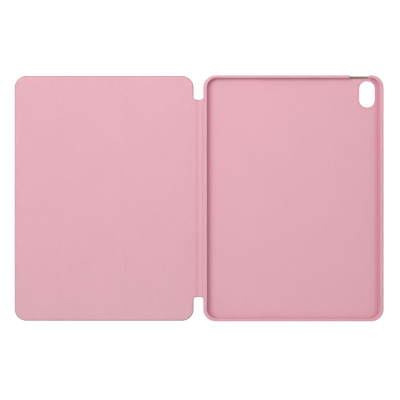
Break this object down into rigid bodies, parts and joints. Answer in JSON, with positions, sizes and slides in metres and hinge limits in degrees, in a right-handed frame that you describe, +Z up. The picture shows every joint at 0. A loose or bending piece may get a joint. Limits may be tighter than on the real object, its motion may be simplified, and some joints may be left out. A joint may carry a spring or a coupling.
{
  "type": "tablet case",
  "caption": "Folio tablet case lying open: snap-in tray with camera hole and port cut-outs, flexible spine, and a folding magnetic cover lined with microfibre.",
  "frame": {"origin": "middle of the open case's footprint, on the surface that it lies on", "axes": "+X from the cover's free edge towards the tray, +Y towards the end with the camera hole, +Z up out of the tray"},
  "size_m": [0.3778, 0.2516, 0.0082],
  "materials": {
    "skin": "satin",
    "shell": "matte",
    "lining": "matte",
    "board": "matte",
    "magnet": "satin",
    "plate": "satin"
  },
  "bodies": {
    "tray": {"back_shell": "shell", "back_skin": "skin", "back_lining": "lining", "spine_hinge_skin": "skin", "spine_hinge_lining": "lining"},
    "spine": {"spine_skin": "skin", "spine_board": "board", "spine_lining": "lining", "cover_hinge_skin": "skin", "cover_hinge_lining": "lining"},
    "panel_inner": {"panel_inner_skin": "skin", "panel_inner_board": "board", "panel_inner_lining": "lining", "holding_plate": "plate", "inner_crease_skin": "skin", "inner_crease_lining": "lining"},
    "panel_middle": {"panel_middle_skin": "skin", "panel_middle_board": "board", "panel_middle_lining": "lining", "outer_crease_skin": "skin", "outer_crease_lining": "lining"},
    "panel_outer": {"panel_outer_skin": "skin", "panel_outer_board": "board", "panel_outer_lining": "lining", "closure_magnet_1": "magnet", "closure_magnet_2": "magnet", "closure_magnet_3": "magnet", "closure_magnet_4": "magnet", "closure_magnet_5": "magnet", "wake_magnet_1": "magnet", "wake_magnet_2": "magnet"}
  },
  "joints": [
    {"name": "spine_hinge", "type": "hinge", "parent": "tray", "child": "spine", "pos_m": [0.00398, 0, 0.0008], "axis": [0, 1, 0], "range_deg": [-30, 90], "deforming": ["spine_hinge_skin", "spine_hinge_lining"]},
    {"name": "cover_hinge", "type": "hinge", "parent": "spine", "child": "panel_inner", "pos_m": [-0.00483, 0, 0.0008], "axis": [0, 1, 0], "range_deg": [-40, 90], "deforming": ["cover_hinge_skin", "cover_hinge_lining"]},
    {"name": "inner_crease", "type": "hinge", "parent": "panel_inner", "child": "panel_middle", "pos_m": [-0.07383, 0, 0.00045], "axis": [0, -1, 0], "range_deg": [0, 138], "deforming": ["inner_crease_skin", "inner_crease_lining"]},
    {"name": "outer_crease", "type": "hinge", "parent": "panel_middle", "child": "panel_outer", "pos_m": [-0.14233, 0, 0.00045], "axis": [0, -1, 0], "range_deg": [0, 114], "deforming": ["outer_crease_skin", "outer_crease_lining"]}
  ]
}
